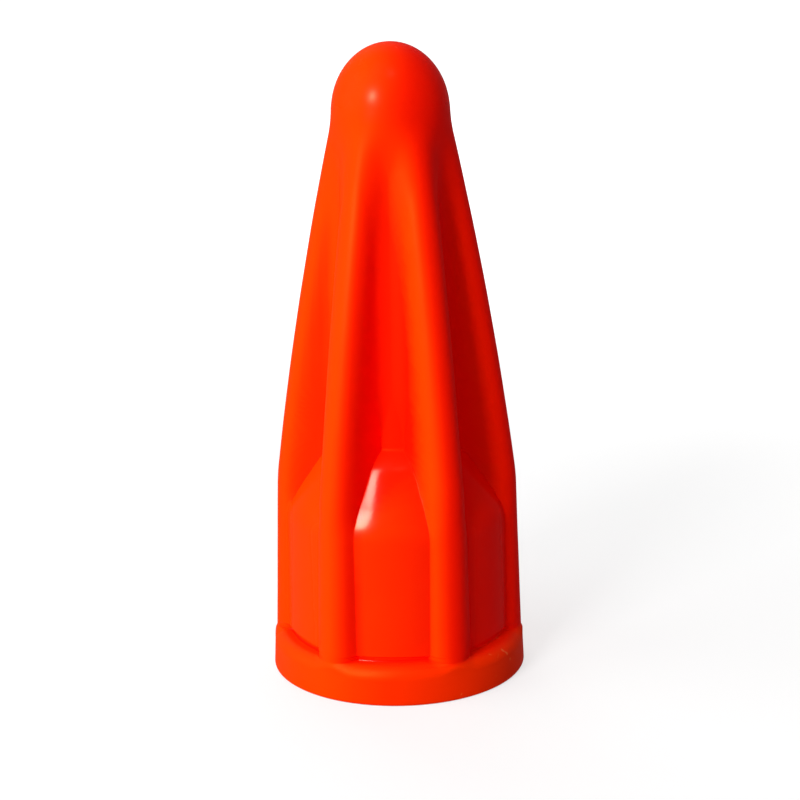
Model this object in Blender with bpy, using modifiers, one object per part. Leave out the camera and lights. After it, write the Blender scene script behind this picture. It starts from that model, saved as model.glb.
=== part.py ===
"""Rubber tip of a children's training javelin.

A soft nose on a slender round core, six full-round ribs that flare out from
it, a bullet-shaped socket housing that bulges through the flutes between the
ribs, and a round collar. A rigid cup lines the socket for the shaft tube.

The tip stands on its collar: the origin is in the middle of the collar's
bottom face and +Z runs along the axis to the nose.
"""

import math

import bmesh
import bpy

MM = 0.001

# Nose and core rod
TIP_HEIGHT = 110.0 * MM
CORE_RADIUS = 10.1 * MM
NECK_LENGTH = 2.9 * MM

# Ribs
RIB_COUNT = 6
RIB_THICKNESS = 6.5 * MM
RIB_CREST_AT_COLLAR = 22.05 * MM
RIB_CREST_DRAFT = math.radians(1.9)
SHOULDER_HEIGHT = 35.0 * MM
SHOULDER_BLEND = 4.0 * MM
FLARE_BOW = 0.78 * MM
RIB_FILLET = 0.4 * MM

# Socket housing
HOUSING_RADIUS = 18.55 * MM
HOUSING_DRAFT = math.radians(1.0)
DOME_FOOT_HEIGHT = 24.0 * MM
DOME_HEIGHT = 21.3 * MM

# Collar
COLLAR_RADIUS = 22.55 * MM
COLLAR_HEIGHT = 6.6 * MM
COLLAR_DRAFT = math.radians(2.6)
COLLAR_TOP_ROUND = 2.3 * MM
COLLAR_FOOT_ROUND = 0.4 * MM
LEDGE_CREASE = 0.1 * MM

# Socket, its liner and the shaft tube that it takes
SHAFT_TUBE_RADIUS = 14.9 * MM
TUBE_CLEARANCE = 0.1 * MM
SOCKET_DEPTH = 25.0 * MM
LINER_WALL = 1.5 * MM
STOP_WIDTH = 2.0 * MM
LINER_NOSE_WALL = 2.0 * MM
LINER_RECESS = 1.0 * MM
LINER_GAP = 0.3 * MM
RUBBER_OVER_NOSE = 2.2 * MM
RIM_CHAMFER = 0.5 * MM
MOUTH_CHAMFER = 0.6 * MM

# Fineness of the meshes
NOSE_RINGS = 7
FLARE_RINGS = 13
FLARE_RING_BIAS = 1.3
DOME_RINGS = 10
HOUSING_RINGS = 3
COLLAR_TOP_STEPS = 5
COLLAR_FOOT_STEPS = 3
CREST_STEPS = 4
FILLET_STEPS = 3
FLUTE_STEPS = 2
TURNED_STEPS = 64
TURNED_DOME_STEPS = 8
MERGE_DISTANCE = 0.01 * MM
BISECTIONS = 40
CUTTER_OVERRUN = 2 * MM
SHARP_EDGE = math.radians(35)

# Sizes that follow from the ones above
NOSE_CENTRE_HEIGHT = TIP_HEIGHT - CORE_RADIUS
NECK_HEIGHT = NOSE_CENTRE_HEIGHT - NECK_LENGTH
RIB_HALF_THICKNESS = RIB_THICKNESS / 2
RIB_PITCH = 2 * math.pi / RIB_COUNT
SHOULDER_RADIUS = (
    RIB_CREST_AT_COLLAR
    - (SHOULDER_HEIGHT - COLLAR_HEIGHT) * math.tan(RIB_CREST_DRAFT)
)
BORE_RADIUS = SHAFT_TUBE_RADIUS + TUBE_CLEARANCE
LINER_RADIUS = BORE_RADIUS + LINER_WALL
CAVITY_RADIUS = LINER_RADIUS + LINER_GAP
CAVITY_TOP_HEIGHT = DOME_FOOT_HEIGHT + DOME_HEIGHT - RUBBER_OVER_NOSE
LINER_TOP_HEIGHT = CAVITY_TOP_HEIGHT - LINER_GAP
HOLLOW_RADIUS = BORE_RADIUS - STOP_WIDTH
HOLLOW_TOP_HEIGHT = LINER_TOP_HEIGHT - LINER_NOSE_WALL


def clear_scene():
    for thing in list(bpy.data.objects):
        bpy.data.objects.remove(thing, do_unlink=True)


def new_collection(name):
    collection = bpy.data.collections.new(name)
    bpy.context.scene.collection.children.link(collection)
    return collection


def new_material(name, colour, roughness, metallic=0.0):
    material = bpy.data.materials.new(name)
    material.use_nodes = True
    surface = material.node_tree.nodes["Principled BSDF"]
    surface.inputs["Base Color"].default_value = (*colour, 1.0)
    surface.inputs["Roughness"].default_value = roughness
    surface.inputs["Metallic"].default_value = metallic
    material.diffuse_color = (*colour, 1.0)
    return material


def housing_radius(height):
    """Outer radius of the bullet-shaped housing: a drafted wall under half an ellipse."""
    if height <= DOME_FOOT_HEIGHT:
        return HOUSING_RADIUS + (DOME_FOOT_HEIGHT - height) * math.tan(HOUSING_DRAFT)
    rise = min((height - DOME_FOOT_HEIGHT) / DOME_HEIGHT, 1.0)
    return HOUSING_RADIUS * math.sqrt(1.0 - rise * rise)


def core_radius(height):
    """Radius of the round body between the ribs: nose, core rod or housing."""
    if height > NOSE_CENTRE_HEIGHT:
        above = height - NOSE_CENTRE_HEIGHT
        return math.sqrt(max(CORE_RADIUS ** 2 - above ** 2, 0.0))
    return max(CORE_RADIUS, housing_radius(height))


def flare_radius(height):
    """Rib crest between neck and shoulder: a straight flare with a slight outward bow."""
    along = (NECK_HEIGHT - height) / (NECK_HEIGHT - SHOULDER_HEIGHT)
    straight = CORE_RADIUS + (SHOULDER_RADIUS - CORE_RADIUS) * along
    return straight + FLARE_BOW * 4 * along * (1 - along)


def crest_radius(height):
    """Radius of the rib crests, with the shoulder rounded over its blend length."""
    if height >= NECK_HEIGHT:
        return core_radius(height)
    drafted = SHOULDER_RADIUS + (SHOULDER_HEIGHT - height) * math.tan(RIB_CREST_DRAFT)
    start = SHOULDER_HEIGHT + SHOULDER_BLEND / 2
    if height >= start:
        return flare_radius(height)
    if height <= SHOULDER_HEIGHT - SHOULDER_BLEND / 2:
        return drafted
    steepness = (flare_radius(start) - flare_radius(start + MM)) / MM
    along = (start - height) / SHOULDER_BLEND
    bend = (math.tan(RIB_CREST_DRAFT) - steepness) / 2
    return flare_radius(start) + SHOULDER_BLEND * along * (steepness + bend * along)


def dome_meets_core_height():
    """Height where the housing's dome has come in to the core rod."""
    share = min(CORE_RADIUS / HOUSING_RADIUS, 1.0)
    return DOME_FOOT_HEIGHT + DOME_HEIGHT * math.sqrt(1.0 - share * share)


def outside_by(reach, angle, core, crest):
    """How far a point lies outside the round core and one rib, joined with a fillet.

    The fillet grows with the rib where the rib rises out of the core.
    """
    fillet = min(RIB_FILLET, crest - core)
    along = reach * math.cos(angle)
    across = reach * math.sin(angle)
    from_core = reach - core
    past_end = max(along - (crest - RIB_HALF_THICKNESS), 0.0)
    from_rib = math.hypot(past_end, across) - RIB_HALF_THICKNESS
    into_fillet = math.hypot(max(fillet - from_core, 0.0), max(fillet - from_rib, 0.0))
    return max(fillet, min(from_core, from_rib)) - into_fillet


def section_radius(angle, height):
    """Radius of the ribbed body at an angle from the middle of the nearest rib."""
    core = core_radius(height)
    crest = crest_radius(height)
    if crest <= core:
        return core
    inside = core
    outside = crest + RIB_FILLET
    for _ in range(BISECTIONS):
        middle = (inside + outside) / 2
        if outside_by(middle, angle, core, crest) > 0:
            outside = middle
        else:
            inside = middle
    return (inside + outside) / 2


def crease_angle(height):
    """Angle, from the middle of a rib, at which its flank meets the round core."""
    core = max(core_radius(min(height, NECK_HEIGHT)), CORE_RADIUS)
    return math.asin(min(RIB_HALF_THICKNESS / core, math.sin(RIB_PITCH / 3)))


def half_pitch_angles(height):
    """Angles of the mesh columns from the middle of a rib to the middle of a flute."""
    crease = crease_angle(height)
    fillet = RIB_FILLET / max(core_radius(height), CORE_RADIUS)
    inner = crease - fillet
    outer = min(crease + fillet, RIB_PITCH / 2 - fillet / 2)
    angles = [inner * i / CREST_STEPS for i in range(CREST_STEPS)]
    angles += [inner + (outer - inner) * i / FILLET_STEPS for i in range(FILLET_STEPS)]
    angles += [outer + (RIB_PITCH / 2 - outer) * i / FLUTE_STEPS for i in range(FLUTE_STEPS + 1)]
    return angles


def whole_turn_angles(height):
    """Pairs of angles for one ring: round the axis, and from the nearest rib."""
    half = half_pitch_angles(height)
    ring = []
    for rib in range(RIB_COUNT):
        middle = rib * RIB_PITCH
        ring += [(middle - angle, angle) for angle in reversed(half[1:])]
        ring += [(middle + angle, angle) for angle in half[:-1]]
    return ring


def body_heights():
    """Heights of the rings from just under the apex down to the foot of the ribs."""
    quarter = math.pi / 2
    heights = [
        NOSE_CENTRE_HEIGHT + CORE_RADIUS * math.cos(quarter * i / NOSE_RINGS)
        for i in range(1, NOSE_RINGS + 1)
    ]
    dome_top = dome_meets_core_height()
    flare = NECK_HEIGHT - dome_top
    heights += [
        NECK_HEIGHT - flare * (i / FLARE_RINGS) ** FLARE_RING_BIAS
        for i in range(FLARE_RINGS)
    ]
    lowest = math.asin(min((dome_top - DOME_FOOT_HEIGHT) / DOME_HEIGHT, 1.0))
    heights += [
        DOME_FOOT_HEIGHT + DOME_HEIGHT * math.sin(lowest * (1 - i / DOME_RINGS))
        for i in range(DOME_RINGS)
    ]
    drop = DOME_FOOT_HEIGHT - COLLAR_HEIGHT - LEDGE_CREASE
    heights += [DOME_FOOT_HEIGHT - drop * i / HOUSING_RINGS for i in range(HOUSING_RINGS + 1)]
    return heights


def body_ring(height):
    ring = []
    for angle, from_rib in whole_turn_angles(height):
        radius = section_radius(from_rib, height)
        ring.append((radius * math.cos(angle), radius * math.sin(angle), height))
    return ring


def collar_wall_radius(height):
    """Radius of the collar's drafted outer wall."""
    return COLLAR_RADIUS - height * math.tan(COLLAR_DRAFT)


def quarter_round(radius, steps):
    """Offsets along and down a convex quarter round, from level to upright."""
    turns = [math.pi / 2 * i / steps for i in range(steps + 1)]
    return [(radius * math.sin(turn), radius * (1 - math.cos(turn))) for turn in turns]


def collar_outline():
    """Collar from the ledge over its rounded shoulder and down the wall to the foot."""
    wall_top = COLLAR_HEIGHT - COLLAR_TOP_ROUND
    ledge_end = collar_wall_radius(wall_top) - COLLAR_TOP_ROUND
    outline = [
        (ledge_end + along, COLLAR_HEIGHT - down)
        for along, down in quarter_round(COLLAR_TOP_ROUND, COLLAR_TOP_STEPS)
    ]
    wall_foot = collar_wall_radius(COLLAR_FOOT_ROUND)
    outline += [
        (wall_foot - down, COLLAR_FOOT_ROUND - along)
        for along, down in quarter_round(COLLAR_FOOT_ROUND, COLLAR_FOOT_STEPS)
    ]
    return outline


def collar_rings():
    """Rings of the collar. The ribs run down into its rounded shoulder."""
    rings = []
    for radius, height in collar_outline():
        ring = []
        for angle, from_rib in whole_turn_angles(COLLAR_HEIGHT):
            reach = radius
            if height > COLLAR_HEIGHT - COLLAR_TOP_ROUND:
                reach = max(radius, section_radius(from_rib, height))
            ring.append((reach * math.cos(angle), reach * math.sin(angle), height))
        rings.append(ring)
    return rings


def loft(name, apex, rings):
    """Mesh through rings of equal count, closed by a fan at the apex and a flat foot."""
    mesh_data = bmesh.new()
    top = mesh_data.verts.new(apex)
    rows = [[mesh_data.verts.new(point) for point in ring] for ring in rings]
    count = len(rows[0])
    for i in range(count):
        mesh_data.faces.new((top, rows[0][i], rows[0][(i + 1) % count]))
    for upper, lower in zip(rows, rows[1:]):
        for i in range(count):
            j = (i + 1) % count
            mesh_data.faces.new((upper[i], lower[i], lower[j], upper[j]))
    mesh_data.faces.new(list(reversed(rows[-1])))
    bmesh.ops.recalc_face_normals(mesh_data, faces=mesh_data.faces)
    mesh = bpy.data.meshes.new(name)
    mesh_data.to_mesh(mesh)
    mesh_data.free()
    mesh.shade_smooth()
    mesh.polygons[-1].use_smooth = False
    mesh.set_sharp_from_angle(angle=SHARP_EDGE)
    return mesh


def turned(name, profile, collection):
    """Body turned about Z from a profile at +X that runs down its outer side."""
    mesh = bpy.data.meshes.new(name)
    points = [(radius, 0.0, height) for radius, height in profile]
    edges = [(i, i + 1) for i in range(len(points) - 1)]
    mesh.from_pydata(points, edges, [])
    body = bpy.data.objects.new(name, mesh)
    collection.objects.link(body)
    screw = body.modifiers.new("turn", "SCREW")
    screw.axis = "Z"
    screw.angle = 2 * math.pi
    screw.steps = TURNED_STEPS
    screw.render_steps = TURNED_STEPS
    screw.use_merge_vertices = True
    screw.merge_threshold = MERGE_DISTANCE
    screw.use_smooth_shade = True
    return body


def dome_profile(radius, foot, top):
    """Quarter ellipse from the axis down to its foot, as (radius, height) points."""
    quarter = math.pi / 2
    return [
        (radius * math.sin(quarter * i / TURNED_DOME_STEPS),
         foot + (top - foot) * math.cos(quarter * i / TURNED_DOME_STEPS))
        for i in range(TURNED_DOME_STEPS + 1)
    ]


def make_socket_cutter(collection):
    """Turned cutter for the cavity in the rubber, with a chamfered mouth."""
    profile = dome_profile(CAVITY_RADIUS, DOME_FOOT_HEIGHT, CAVITY_TOP_HEIGHT)
    profile.append((CAVITY_RADIUS, MOUTH_CHAMFER))
    profile.append((CAVITY_RADIUS + MOUTH_CHAMFER + CUTTER_OVERRUN, -CUTTER_OVERRUN))
    profile.append((0.0, -CUTTER_OVERRUN))
    cutter = turned("socket_cutter", profile, collection)
    cutter.hide_render = True
    cutter.display_type = "WIRE"
    return cutter


def make_rubber_tip(collection, cutters):
    rings = [body_ring(height) for height in body_heights()]
    rings += collar_rings()
    mesh = loft("rubber_tip", (0.0, 0.0, TIP_HEIGHT), rings)
    tip = bpy.data.objects.new("rubber_tip", mesh)
    collection.objects.link(tip)
    tip.data.materials.append(new_material("orange_rubber", (1.0, 0.045, 0.0), 0.3))
    cut = tip.modifiers.new("socket", "BOOLEAN")
    cut.operation = "DIFFERENCE"
    cut.solver = "EXACT"
    cut.object = make_socket_cutter(cutters)
    return tip


def make_socket_liner(collection):
    """Rigid cup in the socket: bored for the tube, with a stop ring under its hollow nose."""
    profile = dome_profile(LINER_RADIUS, DOME_FOOT_HEIGHT, LINER_TOP_HEIGHT)
    profile.append((LINER_RADIUS, LINER_RECESS))
    profile.append((BORE_RADIUS + RIM_CHAMFER, LINER_RECESS))
    profile.append((BORE_RADIUS, LINER_RECESS + RIM_CHAMFER))
    profile.append((BORE_RADIUS, SOCKET_DEPTH))
    profile += reversed(dome_profile(HOLLOW_RADIUS, SOCKET_DEPTH, HOLLOW_TOP_HEIGHT))
    liner = turned("socket_liner", profile, collection)
    liner.data.materials.append(new_material("natural_plastic", (0.62, 0.6, 0.55), 0.45))
    return liner


def main():
    clear_scene()
    parts = new_collection("javelin_tip")
    cutters = new_collection("cutters")
    make_rubber_tip(parts, cutters)
    make_socket_liner(parts)


main()
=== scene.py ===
import math

import bpy
import numpy as np
from mathutils import Matrix, Vector
from mathutils.bvhtree import BVHTree


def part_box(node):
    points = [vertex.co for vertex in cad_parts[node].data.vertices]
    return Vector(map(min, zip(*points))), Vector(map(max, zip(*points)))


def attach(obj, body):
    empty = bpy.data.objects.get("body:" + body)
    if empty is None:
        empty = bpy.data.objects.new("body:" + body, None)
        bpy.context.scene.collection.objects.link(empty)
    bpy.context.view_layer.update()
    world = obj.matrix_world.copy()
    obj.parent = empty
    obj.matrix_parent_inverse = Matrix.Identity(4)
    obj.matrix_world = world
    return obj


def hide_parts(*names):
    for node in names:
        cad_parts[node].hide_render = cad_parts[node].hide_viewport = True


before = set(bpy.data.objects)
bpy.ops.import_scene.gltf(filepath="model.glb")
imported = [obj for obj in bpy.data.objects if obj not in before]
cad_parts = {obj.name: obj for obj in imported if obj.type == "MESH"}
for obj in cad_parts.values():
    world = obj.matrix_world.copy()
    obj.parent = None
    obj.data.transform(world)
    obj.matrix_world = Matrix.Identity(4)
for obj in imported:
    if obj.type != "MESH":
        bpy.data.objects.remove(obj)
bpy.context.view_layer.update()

_, TIP_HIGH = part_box("rubber_tip")
LINER_LOW, LINER_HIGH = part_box("socket_liner")

# Lengths are in metres
MM = 0.001

# Nose and core rod
TIP_HEIGHT = TIP_HIGH.z
CORE_RADIUS = 10.1 * MM
NOSE_HEIGHT = 11.7 * MM
NECK_LENGTH = 1.3 * MM

# Ribs
RIB_COUNT = 6
RIB_THICKNESS = 6.5 * MM
RIB_CREST_AT_COLLAR = 22.05 * MM
RIB_CREST_DRAFT = math.radians(1.9)
SHOULDER_HEIGHT = 35.0 * MM
SHOULDER_BLEND = 4.0 * MM
FLARE_BOW = 0.78 * MM
RIB_FILLET_ON_CORE = 1.9 * MM
RIB_FILLET_IN_POCKET = 0.03 * MM
FILLET_NARROWS_FROM = 52.0 * MM
FILLET_NARROWS_TO = 42.0 * MM
RIB_START = 2.2 * MM
RIB_RISE = 3.5 * MM
NECK_ROUNDING = 0.6 * MM
RIB_WIDENING_TOP = 45.0 * MM
RIB_WIDENING = math.radians(1.0)

# Socket housing: a drafted wall with a groove at its foot, then a cone, then a blunt cap at the
# core. The wall has its radius at the height where the cavity and the liner start to close.
HOUSING_RADIUS = 19.1 * MM
HOUSING_DRAFT = math.radians(1.3)
DOME_FOOT_HEIGHT = 24.0 * MM
CONE_RADIUS = 15.28 * MM
CONE_RADIUS_HEIGHT = 36.09 * MM
CONE_SLOPE = math.radians(34.0)
CONE_BEND = 2.0 * MM
CAP_RADIUS = 12.0 * MM
CAP_RADIUS_HEIGHT = 40.6 * MM
CAP_BEND = 1.5 * MM
CAP_SLOPE = math.radians(58.0)
FOOT_GROOVE_DEPTH = 0.5 * MM
FOOT_GROOVE_HEIGHT = 1.1 * MM
FOOT_GROOVE_ROUND = 0.25 * MM
CORE_BLEND = 0.3 * MM

# Collar
COLLAR_REACH = TIP_HIGH.x
COLLAR_HEIGHT = 6.6 * MM
COLLAR_DRAFT = math.radians(2.6)
COLLAR_TOP_ROUND = 2.3 * MM
COLLAR_FOOT_ROUND = 0.4 * MM
LEDGE_FILLET = 0.3 * MM
RIB_FOOT_BLEND = 1.6 * MM

# Socket and its liner
CAVITY_RADIUS = 16.8 * MM
CAVITY_TOP_HEIGHT = 43.1 * MM
MOUTH_CHAMFER = 0.6 * MM
LINER_RADIUS = LINER_HIGH.x
LINER_TOP_HEIGHT = LINER_HIGH.z
LINER_RECESS = LINER_LOW.z
BORE_RADIUS = 15.0 * MM
SOCKET_DEPTH = 25.0 * MM
STOP_WIDTH = 2.0 * MM
LINER_NOSE_WALL = 2.0 * MM
RIM_CHAMFER = 0.5 * MM

# Unevenness of the moulding, always inwards from the nominal surface. Each wave has a count
# round the axis, a twist in radians a metre of height, and a start in radians.
WAVE_DEPTH = 0.03 * MM
WAVES = ((3, 210.0, 0.0), (5, -340.0, 1.3), (2, 520.0, 4.1))

# The rubber has painted light: orange where a fixed light from one side reaches it. It has
# painted shade, a deeper red, in that light's cast shadows and in the corner at the pockets'
# foot. Its crests are dulled by handling, and its pockets keep the mould's gloss.
# These three names are those of the numbers that the mesh keeps for each point.
PAINTED_LIGHT = "painted_light_share"
DULLED = "dulled"
PAINTED_SHADE = "painted_shade_share"

# Directions of the painted light in degrees, and how much of it one of them gives a facing surface
LOW_LIGHT_PAINT_AZIMUTHS = (-88.0, -80.0, -74.0, -68.0)
LOW_LIGHT_PAINT_ELEVATIONS = (6.0, 24.0)
LOW_LIGHT_PAINT_SHARE = 0.15
FRONT_LIGHT_PAINT_AZIMUTHS = (-28.0, -20.0, -12.0)
FRONT_LIGHT_PAINT_ELEVATION = 30.0
FRONT_LIGHT_PAINT_SHARE = 0.07
# Lift of the painted light's rays off the skin, and height of the painted shade at the pockets'
# foot
LIGHT_PAINT_RAY_LIFT = 0.05 * MM
SHADY_CORNER = 1.0 * MM

# Dulling, from 0 in the pockets to 1 on the crests and on the collar
DULL_OF_NOSE = 0.46
NOSE_GLOSS_FADE = 3.0 * MM
DULL_OVER_CREASE = 0.2
LEAST_RELIEF = 0.1 * MM
GLOSS_FADE_FROM = 38.0 * MM
GLOSS_FADE_TO = 42.0 * MM

# Fineness of the meshes
NOSE_RINGS = 24
FLARE_RINGS = 80
FLARE_RING_BIAS = 1.3
DOME_RINGS = 76
DOME_RINGS_TOP = 45.0 * MM
DOME_RINGS_FOOT = 26.5 * MM
HOUSING_RINGS = 18
GROOVE_RINGS = 14
LEDGE_STEPS = 6
COLLAR_TOP_STEPS = 14
COLLAR_WALL_STEPS = 5
COLLAR_FOOT_STEPS = 6
CAVITY_RINGS = 8
CAVITY_DOME_RINGS = 16
CREST_STEPS = 10
FILLET_STEPS = 12
FLUTE_STEPS = 4
FLATTEST_FLUTE = math.radians(2.0)
TURNED_STEPS = 160
TURNED_DOME_STEPS = 24
BISECTIONS = 30
SHARP_EDGE = math.radians(40)

# Sizes that follow from the ones above
NOSE_CENTRE_HEIGHT = TIP_HEIGHT - NOSE_HEIGHT
NECK_HEIGHT = NOSE_CENTRE_HEIGHT - NECK_LENGTH
RIB_HALF_THICKNESS = RIB_THICKNESS / 2
RIB_PITCH = 2 * math.pi / RIB_COUNT
SHOULDER_DROP = SHOULDER_HEIGHT - COLLAR_HEIGHT
SHOULDER_RADIUS = RIB_CREST_AT_COLLAR - SHOULDER_DROP * math.tan(RIB_CREST_DRAFT)
SHOULDER_TOP = SHOULDER_HEIGHT + SHOULDER_BLEND / 2
SHOULDER_FOOT = SHOULDER_HEIGHT - SHOULDER_BLEND / 2
HOLLOW_RADIUS = BORE_RADIUS - STOP_WIDTH
HOLLOW_TOP_HEIGHT = LINER_TOP_HEIGHT - LINER_NOSE_WALL

# Camera, fitted to the photograph's outline
CAMERA_DISTANCE = 0.327
CAMERA_AZIMUTH = math.radians(3.0)
CAMERA_ELEVATION = math.radians(14.21)
CAMERA_ROLL = math.radians(-0.91)
CAMERA_AIM = Vector((0.000837, 0.0, 0.04807))
CAMERA_SENSOR = 36.0
CAMERA_LENS = 83.92
CAMERA_CLIP_START = 0.01

# Colour of the rubber: orange for painted light, red for painted shade
PAINTED_LIGHT_ORANGE = (1.0, 0.048, 0.0, 1.0)
SHADED_RED = (1.0, 0.001, 0.0, 1.0)
# The collar gets at least this share of the painted light up to a height, fading above it
COLLAR_PAINTED_LIGHT = 0.5
COLLAR_PAINTED_LIGHT_TOP = 6.0 * MM
COLLAR_PAINTED_LIGHT_FADE = 1.0 * MM
MOTTLE = 0.12
MOTTLE_NOISE = {"Scale": 110.0, "Detail": 3.0, "Roughness": 0.55}

# Scuffs on one side of the collar
SCUFF_COLOUR = (1.0, 0.2, 0.07, 1.0)
SCUFF_NOISE = {"Scale": 420.0, "Detail": 1.0}
SCUFF_THRESHOLD = 0.7
SCUFF_EDGE = 0.04
SCUFFS_FROM_X = 9.0 * MM
SCUFFS_FADE = 2.0 * MM

# Gloss and grain of the rubber
RUBBER_SPECULAR = 0.03
GLOSS_OF_POCKETS = (1.0, 1.0, 0.8, 1.0)
GLOSS_OF_CRESTS = (1.0, 0.45, 0.05, 1.0)
ROUGHNESS_OF_POCKETS = 0.12
ROUGHNESS_OF_CRESTS = 0.42
POLISH_NOISE = {"Scale": 260.0, "Detail": 4.0, "Roughness": 0.6}
POLISH_RANGE = (-0.03, 0.05)
GRAIN_NOISE = {"Scale": 900.0, "Detail": 2.0}
GRAIN_STRENGTH = 0.12
GRAIN_DEPTH = 0.05 * MM

# Liner
LINER_COLOUR = (0.62, 0.6, 0.55, 1.0)
LINER_PALE_COLOUR = (0.68, 0.66, 0.6, 1.0)
LINER_NOISE = {"Scale": 140.0, "Detail": 3.0, "Distortion": 0.6}
LINER_ROUGHNESS = (0.38, 0.55)

# Surroundings: white for the camera, dimmer as light on the object and in its gloss
WHITE = (1.0, 1.0, 1.0, 1.0)
WORLD_FILL = 0.345
MIRRORED_SHARE = 0.15

# Floor: matt, with a glow for the camera that is weaker near the object, where its shadow is
FLOOR_COLOUR = (0.35, 0.35, 0.35, 1.0)
FLOOR_SIZE = 8.0
FLOOR_DROP = 0.05 * MM
FLOOR_WHITENESS = 0.66
FADE_START = 0.08
FADE_END = 0.45

# Lamps that light the object: azimuth and elevation in degrees, distance, width, length, and
# the light that they give a facing white surface
AIM = Vector((0.0, 0.0, 0.05))
UP = Vector((0.0, 0.0, 1.0))
SOFT_LAMPS = {
    "front": (-29.0, 20.0, 0.8, 0.25, 0.25, 0.74),
    "side": (-78.0, 25.0, 0.9, 0.8, 0.7, 0.36),
    "top": (-45.0, 62.0, 0.8, 0.4, 0.4, 0.15),
    "back_fill": (-168.0, 35.0, 1.2, 1.0, 1.0, 0.4),
}

# Square panels that show in the gloss: azimuth, elevation, distance, side and radiance
WINDOW = (-34.0, 26.0, 0.85, 0.14, 310.0)
CEILING = (7.0, 62.0, 0.8, 0.1, 26.0)

# Level strips that face down and show in the gloss, at one azimuth and height: distance from
# the axis, width, length and radiance
STRIP_AZIMUTH = -32.0
STRIP_HEIGHT = 0.1
LEVEL_STRIPS = {
    "far_strip": (0.14, 0.018, 0.1, 250.0),
    "near_strip": (0.068, 0.01, 0.03, 200.0),
}

# Sockets of a colour mix, whose names its other kinds share
MIX_COLOURS = (6, 7)
MIX_RESULT = 2


def direction(azimuth, elevation):
    """From the object towards a place seen at an azimuth and elevation in degrees."""
    a, e = math.radians(azimuth), math.radians(elevation)
    return Vector((math.sin(a) * math.cos(e), -math.cos(a) * math.cos(e), math.sin(e)))


def smooth_step(share):
    """A share from 0 to 1 that starts and ends gently."""
    share = min(max(share, 0.0), 1.0)
    return share * share * (3 - 2 * share)


def rounded_min(first, second, rounding):
    """The smaller of two lengths, with the corner where they cross rounded off."""
    near = np.maximum(rounding - np.abs(first - second), 0.0) / rounding
    return np.minimum(first, second) - near * near * rounding / 4


def rounded_max(first, second, rounding):
    """The larger of two lengths, with the corner where they cross filled out."""
    return -rounded_min(-first, -second, rounding)


def housing_radius(height):
    """Outer radius of the bullet-shaped housing, before it joins the core."""
    above_groove = (height - COLLAR_HEIGHT - FOOT_GROOVE_HEIGHT) / FOOT_GROOVE_ROUND
    wall = HOUSING_RADIUS + (DOME_FOOT_HEIGHT - height) * math.tan(HOUSING_DRAFT)
    cone = CONE_RADIUS + (CONE_RADIUS_HEIGHT - height) * math.tan(CONE_SLOPE)
    cap = CAP_RADIUS + (CAP_RADIUS_HEIGHT - height) * math.tan(CAP_SLOPE)
    groove = FOOT_GROOVE_DEPTH * (1 - smooth_step(above_groove + 1))
    return rounded_min(rounded_min(wall, cone, CONE_BEND), cap, CAP_BEND) - groove


def core_radius(height):
    """Radius of the round body between the ribs: nose, core rod or housing."""
    if height > NOSE_CENTRE_HEIGHT:
        above = height - NOSE_CENTRE_HEIGHT
        return CORE_RADIUS * math.sqrt(max(1.0 - (above / NOSE_HEIGHT) ** 2, 0.0))
    return rounded_max(CORE_RADIUS, housing_radius(height), CORE_BLEND)


def flare_radius(height):
    """Rib crest between neck and shoulder: a straight flare, bowed outwards in its middle."""
    along = (NECK_HEIGHT - height) / (NECK_HEIGHT - SHOULDER_HEIGHT)
    straight = CORE_RADIUS + (SHOULDER_RADIUS - CORE_RADIUS) * along
    return straight + FLARE_BOW * 4 * along * (1 - along)


def crest_radius(height):
    """Radius of the rib crests, with the shoulder rounded over its blend length."""
    if height >= NECK_HEIGHT + RIB_START:
        return core_radius(height)
    if height >= SHOULDER_TOP:
        return rounded_max(CORE_RADIUS, flare_radius(height), NECK_ROUNDING)
    if height <= SHOULDER_FOOT:
        return SHOULDER_RADIUS + (SHOULDER_HEIGHT - height) * math.tan(RIB_CREST_DRAFT)
    steepness = (flare_radius(SHOULDER_TOP) - flare_radius(SHOULDER_TOP + MM)) / MM
    along = (SHOULDER_TOP - height) / SHOULDER_BLEND
    bend = (math.tan(RIB_CREST_DRAFT) - steepness) / 2
    return flare_radius(SHOULDER_TOP) + SHOULDER_BLEND * along * (steepness + bend * along)


def half_thickness(height):
    """Half the thickness of a rib, which widens a little towards the collar."""
    return RIB_HALF_THICKNESS + max(RIB_WIDENING_TOP - height, 0.0) * math.tan(RIB_WIDENING)


def fillet_radius(height):
    """Fillet between a rib and the body: wide on the core rod, tight in the pockets."""
    narrowing_length = FILLET_NARROWS_FROM - FILLET_NARROWS_TO
    share = smooth_step((height - FILLET_NARROWS_TO) / narrowing_length)
    return RIB_FILLET_IN_POCKET + (RIB_FILLET_ON_CORE - RIB_FILLET_IN_POCKET) * share


def outside_by(reach, angle, core, crest, half, fillet):
    """How far points lie outside the round core and one rib, joined with a fillet."""
    fillet = min(fillet, crest - core)
    along = reach * np.cos(angle)
    across = reach * np.sin(angle)
    from_core = reach - core
    past_end = np.maximum(along - (crest - half), 0.0)
    from_rib = np.hypot(past_end, across) - half
    near_core = np.maximum(fillet - from_core, 0.0)
    near_rib = np.maximum(fillet - from_rib, 0.0)
    into_fillet = np.hypot(near_core, near_rib)
    return np.maximum(fillet, np.minimum(from_core, from_rib)) - into_fillet


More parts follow.
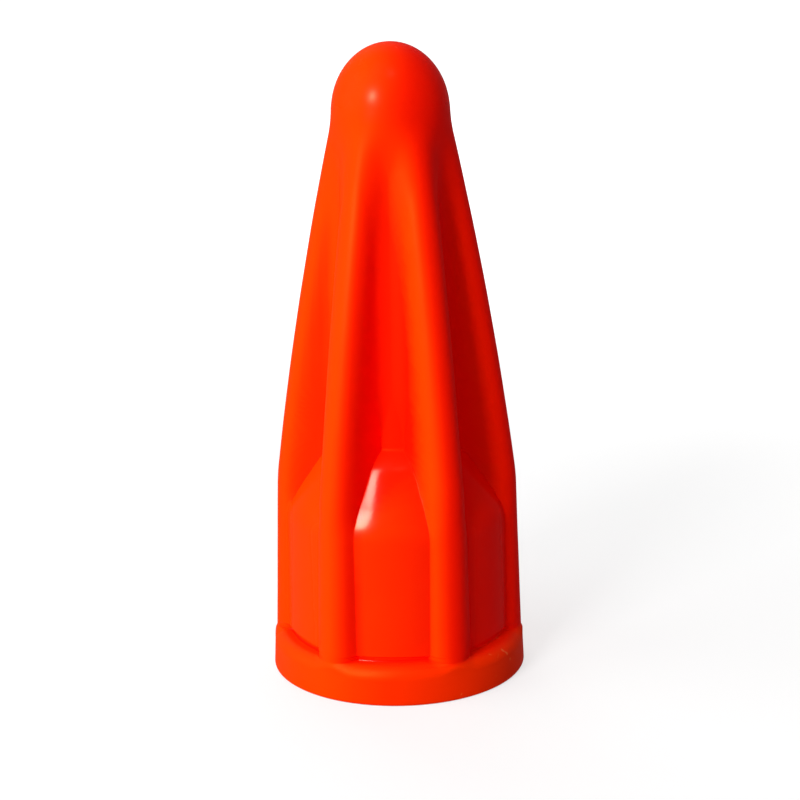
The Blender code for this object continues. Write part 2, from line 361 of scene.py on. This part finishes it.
def section_radius(angle, height, grown=0.0):
    """Radii of the ribbed body, grown outwards, at angles from the middle of the nearest rib.

    The ribs start at the neck as gentle swells and take their full form as they stand out."""
    core = core_radius(height)
    crest = crest_radius(height)
    if crest <= core:
        return np.full_like(angle, core + grown)
    inside = np.full_like(angle, core)
    outside = np.full_like(angle, crest + RIB_FILLET_ON_CORE + grown)
    half = half_thickness(height)
    fillet = fillet_radius(height)
    for _ in range(BISECTIONS):
        middle = (inside + outside) / 2
        beyond = outside_by(middle, angle, core, crest, half, fillet) > grown
        outside = np.where(beyond, middle, outside)
        inside = np.where(beyond, inside, middle)
    ribbed = (inside + outside) / 2
    swell = core + grown + (crest - core) * (1 + np.cos(RIB_COUNT * angle)) / 2
    return swell + (ribbed - swell) * smooth_step((crest - core) / RIB_RISE)


def half_pitch_angles(height):
    """Angles of the mesh columns from the middle of a rib to the middle of a flute."""
    core = max(core_radius(min(height, NECK_HEIGHT)), CORE_RADIUS)
    crease = math.asin(half_thickness(height) / core)
    fillet = fillet_radius(height) / core
    flute_middle = RIB_PITCH / 2
    fillet_end = min(crease + fillet, flute_middle - FLATTEST_FLUTE)
    stops = (0.0, crease - fillet, fillet_end, flute_middle)
    steps = (CREST_STEPS, FILLET_STEPS, FLUTE_STEPS)
    parts = [
        np.linspace(start, end, count, endpoint=False)
        for start, end, count in zip(stops, stops[1:], steps)
    ]
    return np.append(np.concatenate(parts), stops[-1])


def whole_turn(half, values):
    """Angles round the axis and the values at them, from half a pitch repeated and mirrored."""
    turned_by = np.concatenate([-half[:0:-1], half[:-1]])
    repeated = np.concatenate([values[:0:-1], values[:-1]])
    angles = np.concatenate([rib * RIB_PITCH + turned_by for rib in range(RIB_COUNT)])
    return angles, np.tile(repeated, RIB_COUNT)


def unevenness(angles, height):
    """Inward offset of the moulded skin: a few slow waves, none at the foot and the apex."""
    waves = sum(np.sin(count * angles + twist * height + start) for count, twist, start in WAVES)
    fade = min(height / COLLAR_HEIGHT, (TIP_HEIGHT - height) / CORE_RADIUS, 1.0)
    return WAVE_DEPTH * fade * (waves / len(WAVES) - 1) / 2


def rows_of_ring(angles, radii, height, dulled, painted_shade_share):
    """Rows of a level ring: x, y, z, how dulled it is, and how much painted shade it gets."""
    columns = (radii * np.cos(angles), radii * np.sin(angles), height, dulled, painted_shade_share)
    return np.stack([np.broadcast_to(column, angles.shape) for column in columns], axis=1)


def skin_ring(angles, radii, height):
    """Ring of the moulding's skin, slightly uneven.

    The bottoms of the pockets keep their gloss, and the corner at their foot gets painted shade.
    Higher up, where the pockets have ended, all is dulled, and the nose has its own share.
    The collar is dulled evenly and gets no painted corner shade."""
    relief = radii.max() - radii.min()
    standing = (radii - radii.min()) / max(relief, LEAST_RELIEF)
    if height <= COLLAR_HEIGHT:
        dulled, painted_shade_share = 1.0, 0.0
    else:
        above_pockets = smooth_step((height - GLOSS_FADE_FROM) / (GLOSS_FADE_TO - GLOSS_FADE_FROM))
        on_nose = smooth_step((height - NECK_HEIGHT) / NOSE_GLOSS_FADE)
        dulled = np.minimum(standing / DULL_OVER_CREASE, 1.0)
        dulled = dulled + (1 - dulled) * above_pockets
        dulled = dulled + (DULL_OF_NOSE - dulled) * on_nose
        # Painted shade in the corner at the foot of the pockets
        corner_shade = 1 - smooth_step((height - COLLAR_HEIGHT) / SHADY_CORNER)
        painted_shade_share = corner_shade * (1 - standing)
    return rows_of_ring(angles, radii + unevenness(angles, height), height, dulled, painted_shade_share)


def hidden_ring(angles, radius, height):
    """Round ring inside the part, where nothing is dulled and all is painted shade."""
    return rows_of_ring(angles, radius, height, 0.0, 1.0)


def body_heights():
    """Heights of the rings from just under the apex down to the foot of the ribs."""
    turns = np.linspace(0.0, math.pi / 2, NOSE_RINGS + 1)[1:]
    nose = NOSE_CENTRE_HEIGHT + NOSE_HEIGHT * np.cos(turns)
    drop = np.linspace(0.0, 1.0, FLARE_RINGS, endpoint=False) ** FLARE_RING_BIAS
    flare = NECK_HEIGHT - (NECK_HEIGHT - DOME_RINGS_TOP) * drop
    dome = np.linspace(DOME_RINGS_TOP, DOME_RINGS_FOOT, DOME_RINGS, endpoint=False)
    groove_rings_top = COLLAR_HEIGHT + FOOT_GROOVE_HEIGHT + FOOT_GROOVE_ROUND
    housing = np.linspace(DOME_RINGS_FOOT, groove_rings_top, HOUSING_RINGS, endpoint=False)
    groove = np.linspace(groove_rings_top, COLLAR_HEIGHT + LEDGE_FILLET, GROOVE_RINGS + 1)
    return np.concatenate([nose, flare, dome, housing, groove])


def body_rings():
    """Nose, ribs and housing, from under the apex down to the top of the ledge's fillet."""
    rings = []
    for height in body_heights():
        half = half_pitch_angles(height)
        angles, radii = whole_turn(half, section_radius(half, height))
        rings.append(skin_ring(angles, radii, height))
    return rings


def collar_profile():
    """Collar as (radius, height), from its ledge over its rounded top and down to its foot."""
    top_turns = np.linspace(0.0, math.pi / 2, COLLAR_TOP_STEPS + 1)
    foot_turns = np.linspace(0.0, math.pi / 2, COLLAR_FOOT_STEPS + 1)
    slope = math.tan(COLLAR_DRAFT)
    wall_top = COLLAR_HEIGHT - COLLAR_TOP_ROUND
    wall_top_radius = COLLAR_REACH - (wall_top - COLLAR_FOOT_ROUND) * slope
    profile = [
        (wall_top_radius - COLLAR_TOP_ROUND * (1 - math.sin(turn)),
         wall_top + COLLAR_TOP_ROUND * math.cos(turn))
        for turn in top_turns
    ]
    profile += [
        (wall_top_radius + (COLLAR_REACH - wall_top_radius) * share,
         wall_top - (wall_top - COLLAR_FOOT_ROUND) * share)
        for share in np.linspace(0.0, 1.0, COLLAR_WALL_STEPS + 1)[1:-1]
    ]
    profile += [
        (COLLAR_REACH - COLLAR_FOOT_ROUND * (1 - math.cos(turn)),
         COLLAR_FOOT_ROUND * (1 - math.sin(turn)))
        for turn in foot_turns
    ]
    return profile


def collar_rings():
    """Fillet on the ledge, then the collar. The ribs run down into its rounded top."""
    half = half_pitch_angles(COLLAR_HEIGHT)
    profile = collar_profile()
    ledge_end = profile[0][0]
    widest = COLLAR_REACH - (COLLAR_HEIGHT - COLLAR_TOP_ROUND) * math.tan(COLLAR_DRAFT)
    rings = []
    for turn in np.linspace(0.0, math.pi / 2, LEDGE_STEPS + 1)[1:]:
        grown = LEDGE_FILLET * (1 - math.cos(turn))
        height = COLLAR_HEIGHT + LEDGE_FILLET * (1 - math.sin(turn))
        bare = section_radius(half, height)
        reach = np.maximum(bare, np.minimum(section_radius(half, height, grown), ledge_end))
        angles, radii = whole_turn(half, reach)
        rings.append(skin_ring(angles, radii, height))
    for radius, height in profile:
        reach = np.full_like(half, radius)
        if height > COLLAR_HEIGHT - COLLAR_TOP_ROUND:
            ribbed = section_radius(half, height)
            reach = np.minimum(rounded_max(reach, ribbed, RIB_FOOT_BLEND), widest)
        angles, radii = whole_turn(half, reach)
        rings.append(skin_ring(angles, radii, height))
    return rings


def cavity_rings():
    """Inside of the moulding, from its chamfered mouth up to the top of the cavity."""
    half = half_pitch_angles(COLLAR_HEIGHT)
    angles, _ = whole_turn(half, half)
    wall_heights = np.linspace(MOUTH_CHAMFER, DOME_FOOT_HEIGHT, CAVITY_RINGS)
    rise = CAVITY_TOP_HEIGHT - DOME_FOOT_HEIGHT
    profile = [(CAVITY_RADIUS + MOUTH_CHAMFER, 0.0)]
    profile += [(CAVITY_RADIUS, height) for height in wall_heights]
    profile += [
        (CAVITY_RADIUS * math.cos(turn), DOME_FOOT_HEIGHT + rise * math.sin(turn))
        for turn in np.linspace(0.0, math.pi / 2, CAVITY_DOME_RINGS + 1)[1:-1]
    ]
    return [hidden_ring(angles, radius, height) for radius, height in profile]


def store(mesh, name, values):
    """Keep one number for each point of the mesh, for its material to read."""
    attribute = mesh.attributes.new(name, "FLOAT", "POINT")
    attribute.data.foreach_set("value", np.asarray(values, dtype=np.float32))


def light_paint_rays():
    """Directions of the painted light from one side, each with its share."""
    low = [
        (direction(azimuth, elevation), LOW_LIGHT_PAINT_SHARE)
        for azimuth in LOW_LIGHT_PAINT_AZIMUTHS
        for elevation in LOW_LIGHT_PAINT_ELEVATIONS
    ]
    front = [
        (direction(azimuth, FRONT_LIGHT_PAINT_ELEVATION), FRONT_LIGHT_PAINT_SHARE)
        for azimuth in FRONT_LIGHT_PAINT_AZIMUTHS
    ]
    return low + front


def paint_light_by_rays(mesh):
    """Painted light at each point, from the rays that reach it past the part, which paints its
    cast shadows.
    """
    points = [point.co for point in mesh.vertices]
    tree = BVHTree.FromPolygons(points, [face.vertices for face in mesh.polygons])
    rays = light_paint_rays()
    light_sums = []
    for point, painted_shade_share in zip(mesh.vertices, mesh.attributes[PAINTED_SHADE].data):
        normal = point.normal
        start = point.co + normal * LIGHT_PAINT_RAY_LIFT
        facing = [(ray, weight * normal.dot(ray)) for ray, weight in rays]
        light_sum = sum(
            share for ray, share in facing
            if share > 0 and tree.ray_cast(start, ray)[0] is None
        )
        light_sums.append(min(light_sum, 1.0) * (1 - painted_shade_share.value))
    return light_sums


def closed_loft(name, first, rings, last):
    """Closed piece from one apex, dulled as the nose, through rings of equal count to another.

    The last apex is inside the part, as hidden rings are."""
    count = len(rings[0])
    rows = np.concatenate([[(*first, DULL_OF_NOSE, 0.0)], *rings, [(*last, 0.0, 1.0)]])
    points, dulled, painted_shade_share = rows[:, :3].tolist(), rows[:, 3], rows[:, 4]
    faces = [(0, 1 + i, 1 + (i + 1) % count) for i in range(count)]
    for row in range(len(rings) - 1):
        upper = 1 + row * count
        lower = upper + count
        faces += [
            (upper + i, lower + i, lower + (i + 1) % count, upper + (i + 1) % count)
            for i in range(count)
        ]
    end = len(points) - 1
    final = end - count
    faces += [(end, final + (i + 1) % count, final + i) for i in range(count)]
    mesh = bpy.data.meshes.new(name)
    mesh.from_pydata(points, [], faces)
    store(mesh, DULLED, dulled)
    store(mesh, PAINTED_SHADE, painted_shade_share)
    mesh.shade_smooth()
    mesh.set_sharp_from_angle(angle=SHARP_EDGE)
    piece = bpy.data.objects.new(name, mesh)
    bpy.context.scene.collection.objects.link(piece)
    return piece


def make_moulding():
    """Rubber moulding: one skin from the nose over ribs and collar into the socket's cavity."""
    rings = body_rings() + collar_rings() + cavity_rings()
    nose_apex = (0.0, 0.0, TIP_HEIGHT)
    cavity_apex = (0.0, 0.0, CAVITY_TOP_HEIGHT)
    piece = closed_loft("rubber_moulding", nose_apex, rings, cavity_apex)
    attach(piece, "root")
    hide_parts("rubber_tip")
    # Painted light and painted cast shadows, kept for each point of the skin
    store(piece.data, PAINTED_LIGHT, paint_light_by_rays(piece.data))
    piece.data.materials.append(rubber_material())


def quarter_ellipse(radius, foot, top):
    """Points from just off the axis down to the foot of a dome, as (radius, height)."""
    turns = np.linspace(0.0, math.pi / 2, TURNED_DOME_STEPS + 1)[1:]
    return [(radius * math.sin(turn), foot + (top - foot) * math.cos(turn)) for turn in turns]


def make_liner():
    """Rigid cup in the socket: bored for the tube, with a stop ring under its hollow nose."""
    profile = quarter_ellipse(LINER_RADIUS, DOME_FOOT_HEIGHT, LINER_TOP_HEIGHT)
    profile.append((LINER_RADIUS, LINER_RECESS))
    profile.append((BORE_RADIUS + RIM_CHAMFER, LINER_RECESS))
    profile.append((BORE_RADIUS, LINER_RECESS + RIM_CHAMFER))
    profile.append((BORE_RADIUS, SOCKET_DEPTH))
    profile += reversed(quarter_ellipse(HOLLOW_RADIUS, SOCKET_DEPTH, HOLLOW_TOP_HEIGHT))
    angles = np.linspace(0.0, 2 * math.pi, TURNED_STEPS, endpoint=False)
    rings = [hidden_ring(angles, radius, height) for radius, height in profile]
    outer_apex = (0.0, 0.0, LINER_TOP_HEIGHT)
    inner_apex = (0.0, 0.0, HOLLOW_TOP_HEIGHT)
    piece = closed_loft("liner_cup", outer_apex, rings, inner_apex)
    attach(piece, "root")
    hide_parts("socket_liner")
    piece.data.materials.append(liner_material())


class Nodes:
    """A node tree, emptied, with short ways to add nodes to it."""

    def __init__(self, tree):
        self.tree = tree
        tree.nodes.clear()

    def feed(self, socket, value):
        """Link an output to a socket, or set the socket to a constant."""
        if isinstance(value, bpy.types.NodeSocket):
            self.tree.links.new(value, socket)
        else:
            socket.default_value = value

    def add(self, kind, **settings):
        """New node, with values for its sockets and settings by their names."""
        node = self.tree.nodes.new(kind)
        for key, value in settings.items():
            if key in node.inputs:
                self.feed(node.inputs[key], value)
            else:
                setattr(node, key, value)
        return node

    def noise(self, place, settings):
        """Noise between 0 and 1 at a place."""
        return self.add("ShaderNodeTexNoise", Vector=place, **settings).outputs["Fac"]

    def spread(self, value, start, end, low, high, **settings):
        """Ramp over a value: low up to start, and high from end on."""
        ends = {"From Min": start, "From Max": end, "To Min": low, "To Max": high}
        return self.add("ShaderNodeMapRange", Value=value, **ends, **settings).outputs["Result"]

    def calculate(self, operation, *values, use_clamp=False):
        """Result of a calculation, held between 0 and 1 if it is clamped."""
        node = self.add("ShaderNodeMath", operation=operation, use_clamp=use_clamp)
        for socket, value in zip(node.inputs, values):
            self.feed(socket, value)
        return node.outputs["Value"]

    def mix(self, share, first, second):
        """Colour between two, the second one where the share is 1."""
        node = self.add("ShaderNodeMix", data_type="RGBA", Factor=share)
        for index, colour in zip(MIX_COLOURS, (first, second)):
            self.feed(node.inputs[index], colour)
        return node.outputs[MIX_RESULT]


def new_material(name):
    """Material and the nodes of its tree."""
    material = bpy.data.materials.new(name)
    material.use_nodes = True
    return material, Nodes(material.node_tree)


def rubber_colour(nodes, place):
    """Red, with painted light towards orange, slightly mottled, and scuffed on one side of the
    collar.

    The collar gets at least a set share of the painted light, and its scuffs have that strength."""
    axes = nodes.add("ShaderNodeSeparateXYZ", Vector=place)
    painted_light_share = nodes.add("ShaderNodeAttribute", attribute_name=PAINTED_LIGHT).outputs["Fac"]
    above_collar = COLLAR_PAINTED_LIGHT_TOP + COLLAR_PAINTED_LIGHT_FADE
    collar = nodes.spread(
        axes.outputs["Z"], COLLAR_PAINTED_LIGHT_TOP, above_collar, COLLAR_PAINTED_LIGHT, 0.0
    )
    # Painted light: the ray-cast share, at least the collar's share, gives orange; painted shade
    # gives red
    painted_light_level = nodes.calculate("MAXIMUM", painted_light_share, collar)
    mottle = nodes.noise(place, MOTTLE_NOISE)
    wander = nodes.spread(mottle, 0.0, 1.0, 1 - MOTTLE, 1 + MOTTLE)
    mottled = nodes.calculate("MULTIPLY", painted_light_level, wander, use_clamp=True)
    tint = nodes.mix(mottled, SHADED_RED, PAINTED_LIGHT_ORANGE)

    marks = nodes.noise(place, SCUFF_NOISE)
    scuffed = nodes.spread(marks, SCUFF_THRESHOLD, SCUFF_THRESHOLD + SCUFF_EDGE, 0.0, 1.0)
    on_collar = nodes.calculate("MULTIPLY", scuffed, collar, use_clamp=True)
    scuffed_side = nodes.spread(
        axes.outputs["X"], SCUFFS_FROM_X, SCUFFS_FROM_X + SCUFFS_FADE, 0.0, 1.0
    )
    on_one_side = nodes.calculate("MULTIPLY", on_collar, scuffed_side, use_clamp=True)
    return nodes.mix(on_one_side, tint, SCUFF_COLOUR)


def rubber_material():
    """Glossy moulded rubber with painted light and shade, dulled on its crests, with a fine grain.
    """
    material, nodes = new_material("glossy_orange_rubber")
    place = nodes.add("ShaderNodeTexCoord").outputs["Object"]
    dulled = nodes.add("ShaderNodeAttribute", attribute_name=DULLED).outputs["Fac"]
    worn = nodes.spread(dulled, 0.0, 1.0, ROUGHNESS_OF_POCKETS, ROUGHNESS_OF_CRESTS)
    polish = nodes.spread(nodes.noise(place, POLISH_NOISE), 0.0, 1.0, *POLISH_RANGE)
    grain = nodes.noise(place, GRAIN_NOISE)
    bump = nodes.add("ShaderNodeBump", Strength=GRAIN_STRENGTH, Distance=GRAIN_DEPTH, Height=grain)
    surface = nodes.add("ShaderNodeBsdfPrincipled", **{
        "Base Color": rubber_colour(nodes, place),
        "Roughness": nodes.calculate("ADD", worn, polish),
        "Specular IOR Level": RUBBER_SPECULAR,
        "Specular Tint": nodes.mix(dulled, GLOSS_OF_POCKETS, GLOSS_OF_CRESTS),
        "Normal": bump.outputs["Normal"],
    })
    nodes.add("ShaderNodeOutputMaterial", Surface=surface.outputs["BSDF"])
    return material


def liner_material():
    """Natural moulded plastic, satin, with faint flow marks."""
    material, nodes = new_material("natural_plastic")
    place = nodes.add("ShaderNodeTexCoord").outputs["Object"]
    flow = nodes.noise(place, LINER_NOISE)
    surface = nodes.add("ShaderNodeBsdfPrincipled", **{
        "Base Color": nodes.mix(flow, LINER_COLOUR, LINER_PALE_COLOUR),
        "Roughness": nodes.spread(flow, 0.0, 1.0, *LINER_ROUGHNESS),
    })
    nodes.add("ShaderNodeOutputMaterial", Surface=surface.outputs["BSDF"])
    return material


def whiteness(nodes, glossy_share, diffuse_share):
    """1 for camera and transmission rays, and a share each for glossy and diffuse ones."""
    path = nodes.add("ShaderNodeLightPath")
    shares = {
        "Is Camera Ray": 1.0,
        "Is Transmission Ray": 1.0,
        "Is Glossy Ray": glossy_share,
        "Is Diffuse Ray": diffuse_share,
    }
    total = 0.0
    for kind, share in shares.items():
        total = nodes.calculate("MULTIPLY_ADD", path.outputs[kind], share, total, use_clamp=True)
    return total


def make_world():
    """White to look at, and a dim even fill for the object."""
    world = bpy.data.worlds.new("studio")
    bpy.context.scene.world = world
    world.use_nodes = True
    nodes = Nodes(world.node_tree)
    strength = whiteness(nodes, MIRRORED_SHARE, WORLD_FILL)
    background = nodes.add("ShaderNodeBackground", Color=WHITE, Strength=strength)
    nodes.add("ShaderNodeOutputWorld", Surface=background.outputs["Background"])


def floor_material():
    """Pale floor that keeps the object's shadow near it and is plain white further out.

    In the object's gloss it is as dim as the world."""
    material, nodes = new_material("pale_floor")
    place = nodes.add("ShaderNodeTexCoord").outputs["Object"]
    away = nodes.add("ShaderNodeVectorMath", operation="LENGTH")
    nodes.feed(away.inputs[0], place)
    fade = nodes.spread(
        away.outputs["Value"], FADE_START, FADE_END, FLOOR_WHITENESS, 1.0,
        interpolation_type="SMOOTHSTEP",
    )
    glow = nodes.calculate("MULTIPLY", fade, whiteness(nodes, 0.0, 0.0))
    matt = nodes.add("ShaderNodeBsdfDiffuse", Color=FLOOR_COLOUR)
    white = nodes.add("ShaderNodeEmission", Color=WHITE, Strength=glow)
    mirrored = nodes.add("ShaderNodeEmission", Color=WHITE, Strength=MIRRORED_SHARE)
    both = nodes.add("ShaderNodeAddShader")
    nodes.feed(both.inputs[0], matt.outputs["BSDF"])
    nodes.feed(both.inputs[1], white.outputs["Emission"])
    path = nodes.add("ShaderNodeLightPath")
    choice = nodes.add("ShaderNodeMixShader", Fac=path.outputs["Is Glossy Ray"])
    nodes.feed(choice.inputs[1], both.outputs["Shader"])
    nodes.feed(choice.inputs[2], mirrored.outputs["Emission"])
    nodes.add("ShaderNodeOutputMaterial", Surface=choice.outputs["Shader"])
    return material


def make_floor():
    """Large level square just under the object, as stage."""
    half = FLOOR_SIZE / 2
    mesh = bpy.data.meshes.new("floor")
    corners = [(-half, -half, 0.0), (half, -half, 0.0), (half, half, 0.0), (-half, half, 0.0)]
    mesh.from_pydata(corners, [], [(0, 1, 2, 3)])
    floor = bpy.data.objects.new("floor", mesh)
    bpy.context.scene.collection.objects.link(floor)
    floor.location.z = -FLOOR_DROP
    mesh.materials.append(floor_material())


def placed(right, up, back, place):
    """Matrix of an object at a place, from the directions of its right, up and back."""
    matrix = Matrix((right, up, back)).transposed().to_4x4()
    matrix.translation = place
    return matrix


def area_lamp(name, place, towards, up, width, length, power):
    """Rectangular lamp at a place, facing a direction, its length as near to up as it goes."""
    lamp = bpy.data.lights.new(name, "AREA")
    lamp.shape = "RECTANGLE"
    lamp.size = width
    lamp.size_y = length
    lamp.energy = power
    holder = bpy.data.objects.new(name, lamp)
    bpy.context.scene.collection.objects.link(holder)
    back = -towards
    right = up.cross(back).normalized()
    holder.matrix_world = placed(right, back.cross(right), back, place)
    holder.visible_camera = False
    return holder


def soft_lamp(name, azimuth, elevation, distance, width, length, strength):
    """Lamp that lights the object without showing in its gloss.

    Strength is the light that it gives a facing white surface."""
    back = direction(azimuth, elevation)
    power = strength * math.pi ** 2 * distance ** 2
    holder = area_lamp(name, AIM + back * distance, -back, UP, width, length, power)
    holder.visible_glossy = False


def mirrored_panel(name, place, towards, up, width, length, radiance):
    """Bright panel that only shows in the object's gloss."""
    power = radiance * math.pi * width * length
    holder = area_lamp(name, place, towards, up, width, length, power)
    holder.visible_diffuse = False


def facing_panel(name, azimuth, elevation, distance, side, radiance):
    """Square mirrored panel that faces the object."""
    back = direction(azimuth, elevation)
    mirrored_panel(name, AIM + back * distance, -back, UP, side, side, radiance)


def make_lamps():
    """Soft lamps for the object's light, and panels and strips for its highlights."""
    for name, values in SOFT_LAMPS.items():
        soft_lamp(name, *values)
    facing_panel("window", *WINDOW)
    outwards = direction(STRIP_AZIMUTH, 0.0)
    for name, (distance, width, length, radiance) in LEVEL_STRIPS.items():
        place = outwards * distance + UP * STRIP_HEIGHT
        mirrored_panel(name, place, -UP, outwards, width, length, radiance)
    facing_panel("ceiling", *CEILING)


def make_camera():
    """Camera at the photograph's viewing angle and framing."""
    camera = bpy.data.cameras.new("camera")
    camera.sensor_width = CAMERA_SENSOR
    camera.lens = CAMERA_LENS
    camera.clip_start = CAMERA_CLIP_START
    back = Vector((0.0, -math.cos(CAMERA_ELEVATION), math.sin(CAMERA_ELEVATION)))
    right = Vector((1.0, 0.0, 0.0))
    up = back.cross(right)
    cosine, sine = math.cos(CAMERA_ROLL), math.sin(CAMERA_ROLL)
    rolled_right = right * cosine + up * sine
    rolled_up = up * cosine - right * sine
    matrix = placed(rolled_right, rolled_up, back, CAMERA_AIM + back * CAMERA_DISTANCE)
    holder = bpy.data.objects.new("camera", camera)
    bpy.context.scene.collection.objects.link(holder)
    holder.matrix_world = Matrix.Rotation(CAMERA_AZIMUTH, 4, "Z") @ matrix
    bpy.context.scene.camera = holder


make_moulding()
make_liner()
make_floor()
make_world()
make_lamps()
make_camera()
bpy.context.scene.view_settings.view_transform = "Standard"
